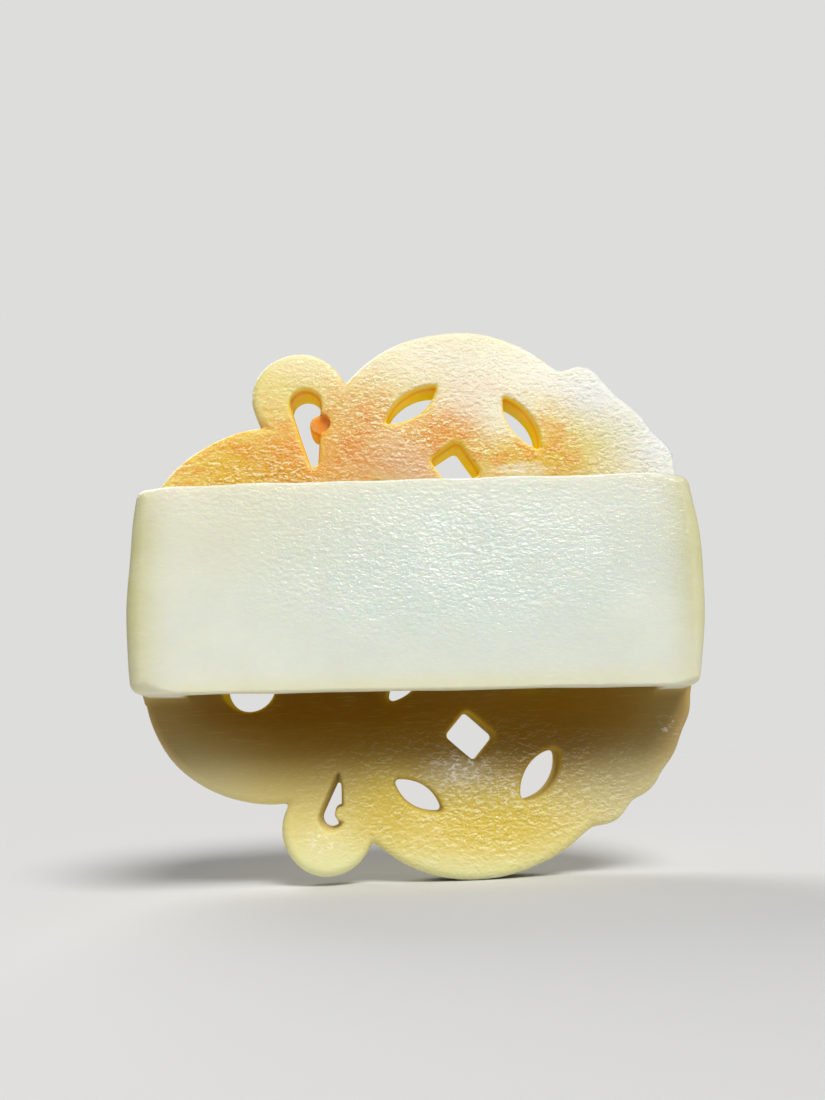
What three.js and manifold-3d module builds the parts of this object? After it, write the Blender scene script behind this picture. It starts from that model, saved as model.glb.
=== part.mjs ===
// Chinese jade belt slide, millimetres, +Z up.
// An openwork plaque carries a flat band across its back, and the belt passes between the two.
// X runs along the band, Z up the plaque, and the carved front looks along +Y.
// The origin is the centre of the belt slot.
// The real slide is one stone. Its carved members are separate solids that meet on thin joints.

import * as THREE from "three";
import { mergeVertices } from "three/addons/utils/BufferGeometryUtils.js";
import Module from "manifold-3d";

const wasm = await Module();
wasm.setup();

// Driving sizes of the belt loop
const overall_width = 70;
const band_height = 25;
const band_thickness = 3;
const slot_depth = 6;
const end_wall_thickness = 6.4;
const band_end_radius = 2.6;
const band_corner_radius = 1.6;
const band_edge_rounding = 0.7;
const slot_fillet = 1.2;
const end_bulge = 1.6;
const band_end_lean = 0.6;

// Driving sizes of the plaque
const plaque_thickness = 5.2;
const plaque_end_bulge = 0.25;
const plaque_edge_rounding = 0.8;
const hole_edge_chamfer = 0.35;
const joint_gap = 0.1;
const cutter_overrun = 4;

// Driving sizes of the holes. The two halves were cut by hand and are a little unlike.
const upper_leaf_length = 8.7;
const upper_leaf_width = 3.2;
const upper_eye_width = 4.4;
const upper_eye_length = 5.3;
const upper_drop_radius = 2;
const upper_knob_radius = 1.3;
const lower_leaf_length = 7.2;
const lower_leaf_width = 2.8;
const lower_eye_width = 4.1;
const lower_eye_length = 4.9;
const lower_drop_radius = 1.3;
const lower_knob_radius = 0.9;
const curl_eye_radius = 3.2;

// Driving sizes of the carving on the front
const relief_height = 1.1;
const low_relief_height = 0.55;
const volute_height = 0.9;
const relief_rounding = 0.45;
const rim_width = 2.1;
const border_width = 1.7;
const fine_border_width = 1.2;
const border_inset = 0.5;
const frame_width = 1.1;
const volute_outer_radius = 8.6;
const volute_inner_radius = 4.4;
const volute_root_width = 2.4;
const volute_tip_width = 1.5;
const bat_body_length = 7.4;
const bat_body_width = 5.2;
const bat_head_radius = 1.9;
const bat_head_lap = 1;
const rib_root_width = 1.6;
const rib_tip_width = 0.9;
const rib_rounding = 0.3;

// Turns
const volute_turns = 1.3;
const volute_start = 0.15 * Math.PI;

// The layout of the plaque, as shares of half the overall width.
// Each row has a side, 1 for the upper half and -1 for the lower, and its z shares are distances from
// the middle of the band. A leaf's long and wide are shares of its coin's own leaf size.
const coin_shares = [
  { side: 1, x: 0.174, z: 0.495, radius: 0.54, eye_x: 0.156, eye_z: 0.485, orbit: 0.289 },
  { side: -1, x: 0.169, z: 0.434, radius: 0.551, eye_x: 0.16, eye_z: 0.506, orbit: 0.277 },
];
const leaf_shares = [
  [
    { x: 0.413, z: 0.651, turn: -60, long: 1, wide: 1 },
    { x: -0.003, z: 0.734, turn: 36, long: 1, wide: 1 },
    { x: -0.08, z: 0.331, turn: -55, long: 1, wide: 1 },
    { x: 0.323, z: 0.261, turn: 35, long: 1, wide: 1 },
  ],
  [
    { x: 0.397, z: 0.645, turn: 51, long: 1.06, wide: 1.25 },
    { x: -0.031, z: 0.7, turn: -34, long: 1, wide: 1 },
    { x: -0.053, z: 0.3, turn: 48, long: 1, wide: 1 },
    { x: 0.331, z: 0.286, turn: -42, long: 1, wide: 1 },
  ],
];
const curl_shares = [
  { side: 1, x: -0.531, z: 0.171, radius: 0.489 },
  { side: -1, x: -0.529, z: 0.257, radius: 0.454 },
];
const curl_eye_shares = { x: -0.61, z: 0.306 };
const lobe_shares = [
  { side: 1, x: -0.424, z: 0.779, radius: 0.18 },
  { side: -1, x: -0.34, z: 0.797, radius: 0.157 },
];
const drop_shares = [
  { x: -0.403, z: 0.749, tip_x: -0.374, tip_z: 0.517, knob_x: -0.351, knob_z: 0.671 },
  { x: -0.331, z: 0.765, tip_x: -0.304, tip_z: 0.655, knob_x: -0.295, knob_z: 0.752 },
];
const wing_shares = [
  { side: 1, x: 0.403, z: 0.274, radius: 0.614 },
  { side: -1, x: 0.37, z: 0.257, radius: 0.603 },
];
const scallop_shares = [
  [
    { x: 0.651, z: 0.791, radius: 0.102 },
    { x: 0.74, z: 0.726, radius: 0.082 },
    { x: 0.826, z: 0.614, radius: 0.083 },
    { x: 0.903, z: 0.494, radius: 0.094 },
  ],
  [
    { x: 0.617, z: 0.74, radius: 0.083 },
    { x: 0.734, z: 0.657, radius: 0.077 },
    { x: 0.817, z: 0.551, radius: 0.074 },
    { x: 0.88, z: 0.446, radius: 0.077 },
  ],
];
const bat_disc_share = 0.486;
const bat_body_share = 0.834;

// Places worked out from the sizes above
const half_width = overall_width / 2;
const half_band = band_height / 2;
const plaque_back = slot_depth / 2;
const plaque_front = plaque_back + plaque_thickness;
const band_inner = -slot_depth / 2;
const band_outer = band_inner - band_thickness;
const slot_half_length = half_width - end_wall_thickness;
const bat_disc_x = bat_disc_share * half_width;
const bat_body_x = bat_body_share * half_width;
const bat_head_x = bat_body_x - bat_body_length / 2 - bat_head_radius + bat_head_lap;
const wing_root_z = (bat_body_width + rib_root_width) / 2;
const curl_eye_x = curl_eye_shares.x * half_width;
const curl_eye_z = curl_eye_shares.z * half_width;
const reach = overall_width + cutter_overrun;

// One row of shares as a round place in millimetres
function placed(row, side = row.side) {
  return { x: row.x * half_width, z: side * row.z * half_width, radius: row.radius * half_width, side };
}

const coins = [
  {
    name: "upper_coin",
    eye_width: upper_eye_width,
    eye_length: upper_eye_length,
    eye_turn: 33,
    leaf_length: upper_leaf_length,
    leaf_width: upper_leaf_width,
  },
  {
    name: "lower_coin",
    eye_width: lower_eye_width,
    eye_length: lower_eye_length,
    eye_turn: 48,
    leaf_length: lower_leaf_length,
    leaf_width: lower_leaf_width,
  },
].map((coin, i) => ({
  ...coin,
  ...placed(coin_shares[i]),
  eye_x: coin_shares[i].eye_x * half_width,
  eye_z: coin_shares[i].side * coin_shares[i].eye_z * half_width,
  orbit: coin_shares[i].orbit * half_width,
  leaves: leaf_shares[i].map((row) => ({
    x: row.x * half_width,
    z: coin_shares[i].side * row.z * half_width,
    turn: THREE.MathUtils.degToRad(row.turn),
    length: row.long * coin.leaf_length,
    width: row.wide * coin.leaf_width,
  })),
}));

const curls = curl_shares.map((row) => placed(row));
const wings = wing_shares.map((row) => placed(row));
const scallops = wings.map((wing, i) => scallop_shares[i].map((row) => placed(row, wing.side)));
const lobes = lobe_shares.map((row) => placed(row));
const drops = drop_shares.map((row, i) => {
  const side = lobe_shares[i].side;
  return {
    x: row.x * half_width,
    z: side * row.z * half_width,
    radius: [upper_drop_radius, lower_drop_radius][i],
    tip_x: row.tip_x * half_width,
    tip_z: side * row.tip_z * half_width,
    knob_x: row.knob_x * half_width,
    knob_z: side * row.knob_z * half_width,
    knob_radius: [upper_knob_radius, lower_knob_radius][i],
  };
});

// How finely round outlines are stepped: segments to a half turn
const round_steps = 28;
const small_round_steps = 9;
const end_steps = 3;
const volute_steps = 36;
const rounding_steps = 2;
const ridge_rounding_steps = 1;
const weld_distance = 0.001;

// A three.js geometry as a manifold solid
function solid(geometry) {
  const bare = geometry.index ? geometry.toNonIndexed() : geometry;
  bare.deleteAttribute("normal");
  bare.deleteAttribute("uv");
  const merged = mergeVertices(bare);
  const mesh = new wasm.Mesh({
    numProp: 3,
    vertProperties: new Float32Array(merged.attributes.position.array),
    triVerts: new Uint32Array(merged.index.array),
  });
  return new wasm.Manifold(mesh);
}

// A manifold solid as a three.js geometry
function geometryOf(body) {
  const mesh = body.getMesh();
  const geometry = new THREE.BufferGeometry();
  geometry.setAttribute("position", new THREE.BufferAttribute(mesh.vertProperties, 3));
  geometry.setIndex(new THREE.BufferAttribute(mesh.triVerts, 1));
  geometry.computeVertexNormals();
  return geometry;
}

function joined(bodies) {
  return bodies.reduce((sum, body) => sum.add(body));
}

// A curved outline as straight steps, without the doubled points where two arcs meet
function stepped(path, steps) {
  const points = path.getPoints(steps);
  const apart = (p, q) => p.distanceTo(q) > weld_distance;
  return points.filter((p, i) => apart(p, points[(i + 1) % points.length]));
}

function steppedShape(shape, steps) {
  const plain = new THREE.Shape(stepped(shape, steps));
  plain.holes = shape.holes.map((hole) => new THREE.Path(stepped(hole, steps)));
  return plain;
}

// A shape drawn in X and Z, standing from y_low to y_high, with its edges rounded
function prism(shape, y_low, y_high, rounding = 0, steps = round_steps, bevels = rounding_steps) {
  const geometry = new THREE.ExtrudeGeometry(steppedShape(shape, steps), {
    depth: y_high - y_low - 2 * rounding,
    bevelEnabled: rounding > 0,
    bevelThickness: rounding,
    bevelSize: rounding,
    bevelOffset: -rounding,
    bevelSegments: bevels,
  });
  geometry.rotateX(Math.PI / 2);
  geometry.translate(0, y_high - rounding, 0);
  return solid(geometry);
}

// A shape drawn in X and -Y, standing upright across the middle of the band
function upright(shape, height) {
  const settings = { depth: height, bevelEnabled: false };
  const geometry = new THREE.ExtrudeGeometry(steppedShape(shape, small_round_steps), settings);
  geometry.translate(0, 0, -height / 2);
  geometry.rotateX(Math.PI);
  return solid(geometry);
}

// A block between two corners
function block(low, high) {
  const geometry = new THREE.BoxGeometry(high[0] - low[0], high[1] - low[1], high[2] - low[2]);
  geometry.translate((low[0] + high[0]) / 2, (low[1] + high[1]) / 2, (low[2] + high[2]) / 2);
  return solid(geometry);
}

function circleShape(x, z, radius) {
  const shape = new THREE.Shape();
  shape.absarc(x, z, radius, 0, 2 * Math.PI, false);
  return shape;
}

function ringShape(x, z, middle_radius, width) {
  const shape = circleShape(x, z, middle_radius + width / 2);
  const hole = new THREE.Path();
  hole.absarc(x, z, middle_radius - width / 2, 0, 2 * Math.PI, true);
  shape.holes.push(hole);
  return shape;
}

// A pointed leaf between two equal arcs, its long axis turned by an angle
function leafShape(x, z, length, width, turn) {
  const arc_radius = (length * length + width * width) / (4 * width);
  const arc_offset = arc_radius - width / 2;
  const half_angle = Math.asin(length / 2 / arc_radius);
  const across = turn + Math.PI / 2;
  const shape = new THREE.Shape();
  for (const flip of [0, Math.PI]) {
    const from = across + flip;
    const centre_x = x - arc_offset * Math.cos(from);
    const centre_z = z - arc_offset * Math.sin(from);
    shape.absarc(centre_x, centre_z, arc_radius, from - half_angle, from + half_angle, false);
  }
  return shape;
}

function ellipseShape(x, z, length, width) {
  const shape = new THREE.Shape();
  shape.absellipse(x, z, length / 2, width / 2, 0, 2 * Math.PI, false, 0);
  return shape;
}

// A rectangle, its width turned by an angle
function rectangleShape(x, z, width, length, turn) {
  const along = [(width / 2) * Math.cos(turn), (width / 2) * Math.sin(turn)];
  const across = [(-length / 2) * Math.sin(turn), (length / 2) * Math.cos(turn)];
  const signs = [[1, -1], [1, 1], [-1, 1], [-1, -1]];
  return new THREE.Shape(signs.map(([i, j]) =>
    new THREE.Vector2(x + i * along[0] + j * across[0], z + i * along[1] + j * across[1])));
}

// A drop: a round end drawn out to a point along its two tangents
function dropShape(x, z, radius, tip_x, tip_z) {
  const towards = Math.atan2(tip_z - z, tip_x - x);
  const open = Math.acos(radius / Math.hypot(tip_x - x, tip_z - z));
  const shape = new THREE.Shape();
  shape.absarc(x, z, radius, towards + open, towards - open + 2 * Math.PI, false);
  shape.lineTo(tip_x, tip_z);
  return shape;
}

// A tapered bar with round ends, from one point to another
function taperShape(x_a, z_a, width_a, x_b, z_b, width_b) {
  const along = Math.atan2(z_b - z_a, x_b - x_a);
  const lean = Math.asin((width_a - width_b) / 2 / Math.hypot(x_b - x_a, z_b - z_a));
  const side = Math.PI / 2 - lean;
  const shape = new THREE.Shape();
  shape.absarc(x_b, z_b, width_b / 2, along - side, along + side, false);
  shape.absarc(x_a, z_a, width_a / 2, along + side, along - side + 2 * Math.PI, false);
  return shape;
}

// A volute: a strip that winds inwards about a point, counter-clockwise when side is 1
function voluteShape(x, z, side) {
  const edge = (offset) => Array.from({ length: volute_steps + 1 }, (_, i) => {
    const share = i / volute_steps;
    const radius = THREE.MathUtils.lerp(volute_outer_radius, volute_inner_radius, share);
    const width = THREE.MathUtils.lerp(volute_root_width, volute_tip_width, share);
    const angle = volute_start + share * volute_turns * 2 * Math.PI;
    const out = radius + (offset * width) / 2;
    return new THREE.Vector2(x + out * Math.cos(angle), z + side * out * Math.sin(angle));
  });
  const points = [...edge(1), ...edge(-1).reverse()];
  return new THREE.Shape(side > 0 ? points : points.reverse());
}

// A hole through the plaque, flared by a small chamfer at both faces
function pierced(shape) {
  const outline = steppedShape(shape, small_round_steps);
  const flare = (y_low, y_high) => {
    const geometry = new THREE.ExtrudeGeometry(outline, {
      depth: y_high - y_low,
      bevelThickness: hole_edge_chamfer,
      bevelSize: hole_edge_chamfer,
      bevelSegments: 1,
    });
    geometry.rotateX(Math.PI / 2);
    geometry.translate(0, y_high, 0);
    return solid(geometry);
  };
  const through = prism(outline, plaque_back - cutter_overrun, plaque_front + cutter_overrun);
  const back = flare(plaque_back - cutter_overrun, plaque_back);
  const front = flare(plaque_front, plaque_front + cutter_overrun);
  return joined([through, back, front]);
}

// Radius of an arc that bulges by so much over the height of the band
function bulgeRadius(bulge) {
  return (half_band * half_band + bulge * bulge) / (2 * bulge);
}

// A solid whose two ends bulge outwards, as seen from the back
function barrel(bulge) {
  const radius = bulgeRadius(bulge);
  const centre_x = half_width - radius;
  const half_angle = Math.asin(reach / 2 / radius);
  const shape = new THREE.Shape();
  shape.absarc(centre_x, 0, radius, -half_angle, half_angle, false);
  shape.absarc(-centre_x, 0, radius, Math.PI - half_angle, Math.PI + half_angle, false);
  return prism(shape, -reach, reach);
}

const plaque_barrel = barrel(plaque_end_bulge);

// The band's outline: bulged ends, straight long edges and rounded corners
function bandShape() {
  const r = band_corner_radius;
  const radius = bulgeRadius(end_bulge);
  const centre_x = half_width - radius;
  const corner_z = half_band - r;
  const corner_x = centre_x + Math.sqrt((radius - r) ** 2 - corner_z ** 2);
  const turn = Math.atan2(corner_z, corner_x - centre_x);
  const quarter = Math.PI / 2;
  const shape = new THREE.Shape();
  for (const side of [1, -1]) {
    const back = side > 0 ? 0 : Math.PI;
    shape.absarc(side * corner_x, -side * corner_z, r, back - quarter, back - turn, false);
    shape.absarc(side * centre_x, 0, radius, back - turn, back + turn, false);
    shape.absarc(side * corner_x, side * corner_z, r, back + turn, back + quarter, false);
  }
  return shape;
}

function plaqueDisc(disc, steps = round_steps) {
  const shape = circleShape(disc.x, disc.z, disc.radius);
  return prism(shape, plaque_back, plaque_front, plaque_edge_rounding, steps);
}

// A coin's eye, widened all round by a margin
function eyeOf(coin, margin = 0) {
  const turn = THREE.MathUtils.degToRad(coin.eye_turn);
  const [width, length] = [coin.eye_width + 2 * margin, coin.eye_length + 2 * margin];
  return rectangleShape(coin.eye_x, coin.eye_z, width, length, turn);
}

// The eye of a coin, and leaves set round it
function coinHoles(coin) {
  const leaves = coin.leaves.map((leaf) => leafShape(leaf.x, leaf.z, leaf.length, leaf.width, leaf.turn));
  return [eyeOf(coin), ...leaves].map(pierced);
}

function dropHole(drop) {
  return pierced(dropShape(drop.x, drop.z, drop.radius, drop.tip_x, drop.tip_z));
}

// The drop-shaped hole in a lobe, with a knob left standing at its side
function lobeHole(drop) {
  const knob = circleShape(drop.knob_x, drop.knob_z, drop.knob_radius);
  return dropHole(drop).subtract(prism(knob, -reach, reach));
}

// The part of everything on one side of the middle of the band
function halfSpace(side) {
  const far = side * reach;
  return block([-reach, -reach, Math.min(0, far)], [reach, reach, Math.max(0, far)]);
}

// The whole openwork plaque before it is divided into its members
function openworkPlaque() {
  const end_block = (x_low, x_high) =>
    block([x_low, plaque_back, -half_band], [x_high, plaque_front, half_band]).intersect(plaque_barrel);
  const bat_disc = { x: bat_disc_x, z: 0, radius: half_width - bat_disc_x };
  const large = [...coins, ...curls, ...wings, bat_disc].map((disc) => plaqueDisc(disc));
  const small = [...lobes, ...scallops.flat()].map((disc) => plaqueDisc(disc, small_round_steps));
  const backed = joined([
    joined([...large, ...small]).intersect(plaque_barrel),
    end_block(-half_width, -slot_half_length),
    end_block(slot_half_length, half_width),
  ]);
  const eyes = curls.map((curl) =>
    pierced(circleShape(curl_eye_x, curl.side * curl_eye_z, curl_eye_radius)));
  return backed.subtract(joined([...coins.flatMap(coinHoles), ...eyes, ...drops.map(lobeHole)]));
}

// A raised ridge on the carved front
function ridge(shape, height = relief_height, steps = round_steps, rounding = relief_rounding) {
  const low = plaque_front - relief_height;
  return prism(shape, low, plaque_front + height, rounding, steps, ridge_rounding_steps);
}

// A raised border just inside the edge of a round member
function border(disc, width, height = relief_height, steps = round_steps) {
  const middle = disc.radius - border_inset - width / 2;
  return ridge(ringShape(disc.x, disc.z, middle, width), height, steps);
}

// A coin's rim, the ring outside its leaves and the frame of its eye
function coinRelief(coin) {
  const ring_radius = coin.orbit + (coin.leaf_width + fine_border_width) / 2 + border_inset;
  const ring = ringShape(coin.eye_x, coin.eye_z, ring_radius, fine_border_width);
  const frame = eyeOf(coin, frame_width);
  return joined([
    border(coin, rim_width),
    ridge(ring, low_relief_height),
    ridge(frame, low_relief_height),
  ]).subtract(joined(coinHoles(coin)));
}

// The cloud head's borders and volutes; each large border stops where the other curl begins
function ruyiRelief() {
  const borders = curls.map((curl) => border(curl, border_width).intersect(halfSpace(curl.side)));
  const volutes = curls.map((curl) =>
    ridge(voluteShape(curl_eye_x, curl.side * curl_eye_z, curl.side), volute_height));
  const lobe_borders = lobes.map((lobe) =>
    border(lobe, fine_border_width, low_relief_height, small_round_steps));
  return joined([...borders, ...volutes, ...lobe_borders]).subtract(joined(drops.map(dropHole)));
}

// The bat's body and head, and a rib from each wing's root to each scallop
function batRelief() {
  const body = ridge(
    ellipseShape(bat_body_x, 0, bat_body_length, bat_body_width), relief_height, small_round_steps);
  const head = ridge(circleShape(bat_head_x, 0, bat_head_radius), relief_height, small_round_steps);
  const ribs = scallops.flat().map((scallop) => {
    const root = [bat_body_x, scallop.side * wing_root_z, rib_root_width];
    const shape = taperShape(...root, scallop.x, scallop.z, rib_tip_width);
    return ridge(shape, low_relief_height, end_steps, rib_rounding);
  });
  return joined([body, head, ...ribs]).intersect(plaque_barrel);
}

// The belt loop drawn from the back, cut by the arch that it makes from above: its ends lean in a
// little towards the band and are rounded there
function beltLoop() {
  const shape = new THREE.Shape();
  const r = band_end_radius;
  const end_x = half_width - band_end_lean - r;
  shape.moveTo(-half_width, -plaque_back);
  shape.lineTo(half_width, -plaque_back);
  shape.absarc(end_x, -band_outer - r, r, 0, Math.PI / 2, false);
  shape.absarc(-end_x, -band_outer - r, r, Math.PI / 2, Math.PI, false);
  const slab = prism(bandShape(), band_outer, plaque_back + band_edge_rounding, band_edge_rounding);
  return slab.intersect(upright(shape, band_height));
}

function slotCutter() {
  const r = slot_fillet;
  const x = slot_half_length - r;
  const y = slot_depth / 2 - r;
  const shape = new THREE.Shape();
  shape.absarc(x, y, r, 0, Math.PI / 2, false);
  shape.absarc(-x, y, r, Math.PI / 2, Math.PI, false);
  shape.absarc(-x, -y, r, Math.PI, 1.5 * Math.PI, false);
  shape.absarc(x, -y, r, 1.5 * Math.PI, 2 * Math.PI, false);
  return upright(shape, band_height + cutter_overrun);
}

const jade_colours = {
  pale: 0xdfe4d6,
  honey: 0xd9bd74,
};

function member(name, body, colour) {
  const material = new THREE.MeshStandardMaterial({ color: colour, roughness: 0.28, metalness: 0 });
  const mesh = new THREE.Mesh(geometryOf(body), material);
  mesh.name = name;
  return mesh;
}

// The upright column that a coin is cut from the plaque by
function coinColumn(coin, clearance) {
  return prism(circleShape(coin.x, coin.z, coin.radius + clearance), -reach, reach);
}

const slide = new THREE.Group();
const plaque = openworkPlaque();

// Coins, parted from each other at the middle of the band
for (const coin of coins) {
  const column = coinColumn(coin, joint_gap).intersect(halfSpace(coin.side));
  const body = plaque.add(coinRelief(coin)).intersect(column);
  slide.add(member(coin.name, body, jade_colours.honey));
}

// Ruyi head to the left of the coins, bat to their right
const columns = joined(coins.map((coin) => coinColumn(coin, 2 * joint_gap)));
const middle_x = (coins[0].x + coins[1].x) / 2;
const left_side = block([-reach, -reach, -reach], [middle_x, reach, reach]).subtract(columns);
const right_side = block([middle_x, -reach, -reach], [reach, reach, reach]).subtract(columns);
const ruyi_head = plaque.add(ruyiRelief().intersect(plaque_barrel)).intersect(left_side);
const bat = plaque.add(batRelief()).intersect(right_side);
slide.add(member("ruyi_head", ruyi_head, jade_colours.honey));
slide.add(member("bat", bat, jade_colours.honey));

// Band and end walls, parted on the band's inner face
const loop = beltLoop();
const band_zone = block([-reach, -reach, -reach], [reach, band_inner, reach]);
const wall_zone = (x_low, x_high) => block([x_low, band_inner, -reach], [x_high, plaque_back, reach]);
const walls = loop.subtract(slotCutter());
slide.add(member("strap_band", loop.intersect(band_zone), jade_colours.pale));
slide.add(member("left_end_wall", walls.intersect(wall_zone(-reach, 0)), jade_colours.pale));
slide.add(member("right_end_wall", walls.intersect(wall_zone(0, reach)), jade_colours.pale));

export default slide;
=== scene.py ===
"""A jade belt slide, seen from its back, in metres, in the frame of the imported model.

The stone is worked out in millimetres as one field: a number for each place, below nothing inside the
stone and above nothing outside it. The surface where it is nothing becomes the mesh.
X runs along the band, the carved front looks along +Y, and Z runs up the plaque.
"""

import math

import bpy
import numpy as np
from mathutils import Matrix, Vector


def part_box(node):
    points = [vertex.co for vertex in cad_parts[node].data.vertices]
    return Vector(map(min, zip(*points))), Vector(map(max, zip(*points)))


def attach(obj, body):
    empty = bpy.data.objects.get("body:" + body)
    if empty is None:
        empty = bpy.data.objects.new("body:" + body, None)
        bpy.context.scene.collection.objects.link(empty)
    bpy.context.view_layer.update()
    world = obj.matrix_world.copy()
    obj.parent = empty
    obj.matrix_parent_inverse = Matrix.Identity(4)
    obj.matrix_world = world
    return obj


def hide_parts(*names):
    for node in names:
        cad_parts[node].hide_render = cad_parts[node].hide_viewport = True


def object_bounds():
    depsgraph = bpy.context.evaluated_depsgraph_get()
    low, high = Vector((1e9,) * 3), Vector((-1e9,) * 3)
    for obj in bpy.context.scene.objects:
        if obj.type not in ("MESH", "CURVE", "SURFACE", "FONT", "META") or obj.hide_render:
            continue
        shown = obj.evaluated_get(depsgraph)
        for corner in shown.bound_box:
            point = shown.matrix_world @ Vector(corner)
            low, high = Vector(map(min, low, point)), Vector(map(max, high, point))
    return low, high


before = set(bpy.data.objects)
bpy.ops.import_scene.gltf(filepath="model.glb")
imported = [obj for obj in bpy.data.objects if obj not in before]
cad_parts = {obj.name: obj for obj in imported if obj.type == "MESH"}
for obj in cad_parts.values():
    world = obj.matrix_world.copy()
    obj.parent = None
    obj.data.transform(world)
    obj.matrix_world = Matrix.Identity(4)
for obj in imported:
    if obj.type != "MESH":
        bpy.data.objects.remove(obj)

MM = 0.001
cad_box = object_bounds()


def box_mm(node):
    """A node's lowest and highest corners in millimetres."""
    low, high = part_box(node)
    return np.array(low) / MM, np.array(high) / MM


# Sizes taken from the frame, in millimetres
band_low, band_high = box_mm("strap_band")
coin_low, coin_high = box_mm("upper_coin")
_, wall_high = box_mm("right_end_wall")
half_width = wall_high[0]
half_band = band_high[2]
band_outer = band_low[1]
plaque_back = coin_low[1]
relief_top = coin_high[1]

# How deep the front is carved, and how far the end walls reach inwards
carving_depth = 1.1
wall_thickness = 6.4
plaque_front = relief_top - carving_depth
slot_half_length = half_width - wall_thickness

# Ends of the stone: how far they bulge, how far they lean in for each millimetre towards the band, and
# how far the right end leans out for each millimetre upwards
plaque_end_bulge = 0.25
left_end_bulge = 0.9
right_end_bulge = 1.25
left_end_lean = 0.055
right_end_lean = 0.14
right_end_tilt = 0.045

# How far the band's lower edge drops for each millimetre to the right
band_lower_slope = 0.018

# Roundings of the band, the slot and the plaque. The band's edge grows rounder between two distances from
# its ends.
band_corner = 1.2
band_long_edge = 0.22
band_end_edge = 2.2
end_edge_start = 7
end_edge_full = 1.5
slot_fillet = 1.2
slot_edge = 0.35
root_fillet = 1.0
plaque_edge = 0.95
hole_edge = 0.5
hole_waist = 0.12
notch_fillet = 0.7
scallop_fillet = 1.1

# Waves that hand grinding leaves: how high, how many, how long, and the seed of their random draws
hand_wave = 0.07
wave_count = 14
shortest_wave = 6
longest_wave = 18
wave_seed = 7

# Openings, with the upper one first in each pair
leaf_sizes = [(8.8, 3.2), (7.4, 2.9)]
leaf_tips = [0.4, 0.75]
eye_sizes = [(4.5, 5.4), (4.2, 5.0)]
eye_turns = [33, 48]
eye_corner = 0.7
drop_radii = [2.0, 1.3]
drop_tip_radii = [0.6, 0.4]
knob_radii = [1.3, 0.9]
curl_eye_radius = 3.2

# How deep the upper knob is set, and how the lower drop widens towards the back at its tip
knob_recess = 0.9
drop_mouth = 0.3
drop_mouth_reach = 1.2
drop_mouth_slope = 0.3

# Carving on the front
rim_width = 2.1
border_width = 1.7
fine_border_width = 1.2
border_inset = 0.5
border_gap = 2.4
border_gap_slope = 0.8
border_end_share = 0.4
high_relief = 1.05
middle_relief = 0.85
low_relief = 0.5
relief_shoulder = 0.55
coin_dish = 0.45
dish_slope = 1.5
groove_depth = 0.3
groove_width = 0.35
volute_outer = 8.6
volute_inner = 4.4
volute_root_width = 2.4
volute_tip_width = 1.5
volute_turns = 1.3
volute_start = 0.15 * math.pi
bat_body_length = 7.4
bat_body_width = 5.2
bat_head_radius = 1.9
bat_head_lap = 1.0
rib_root_width = 1.6
rib_tip_width = 0.9
wing_groove_step = 1.5

# The layout of the plaque, as shares of half the width, with its z shares counted from the band's middle.
# A leaf's long and wide are shares of its coin's own leaf size.
coin_shares = [
    dict(side=1, x=0.174, z=0.495, radius=0.54, eye_x=0.156, eye_z=0.485, orbit=0.289),
    dict(side=-1, x=0.169, z=0.434, radius=0.551, eye_x=0.16, eye_z=0.506, orbit=0.277),
]
leaf_shares = [
    [
        dict(side=1, x=0.413, z=0.651, turn=-60, long=1, wide=1),
        dict(side=1, x=-0.003, z=0.734, turn=36, long=1, wide=1),
        dict(side=1, x=-0.08, z=0.331, turn=-55, long=1, wide=1),
        dict(side=1, x=0.323, z=0.261, turn=35, long=1, wide=1),
    ],
    [
        dict(side=-1, x=0.397, z=0.645, turn=51, long=1.06, wide=1.25),
        dict(side=-1, x=-0.031, z=0.7, turn=-34, long=1, wide=1),
        dict(side=-1, x=-0.053, z=0.3, turn=48, long=1, wide=1),
        dict(side=-1, x=0.331, z=0.274, turn=-42, long=1, wide=1),
    ],
]
curl_shares = [
    dict(side=1, x=-0.531, z=0.171, radius=0.489),
    dict(side=-1, x=-0.529, z=0.257, radius=0.454),
]
curl_eye_shares = [
    dict(side=1, x=-0.61, z=0.306),
    dict(side=-1, x=-0.61, z=0.306),
]
lobe_shares = [
    dict(side=1, x=-0.424, z=0.779, radius=0.18),
    dict(side=-1, x=-0.34, z=0.797, radius=0.157),
]
drop_shares = [
    dict(side=1, x=-0.403, z=0.749, tip_x=-0.374, tip_z=0.517, knob_x=-0.351, knob_z=0.671),
    dict(side=-1, x=-0.331, z=0.765, tip_x=-0.304, tip_z=0.655, knob_x=-0.295, knob_z=0.752),
]
wing_shares = [
    dict(side=1, x=0.403, z=0.274, radius=0.614),
    dict(side=-1, x=0.37, z=0.257, radius=0.603),
]
scallop_shares = [
    [
        dict(side=1, x=0.651, z=0.791, radius=0.092),
        dict(side=1, x=0.706, z=0.744, radius=0.066),
        dict(side=1, x=0.81, z=0.613, radius=0.078),
        dict(side=1, x=0.903, z=0.492, radius=0.082),
    ],
    [
        dict(side=-1, x=0.617, z=0.74, radius=0.08),
        dict(side=-1, x=0.734, z=0.657, radius=0.068),
        dict(side=-1, x=0.809, z=0.543, radius=0.067),
        dict(side=-1, x=0.872, z=0.428, radius=0.07),
    ],
]
bat_disc_share = 0.486
bat_body_share = 0.834

# Fineness of the mesh, and how its points are moved onto the surface
grid_step = 0.27
margin_steps = 3
triangle_goal = 190_000
projection_rounds = 4
slope_step = 0.02
least_steepness = 0.4

# A distance beyond any in the stone, in millimetres
far_away = 99.0


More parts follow.
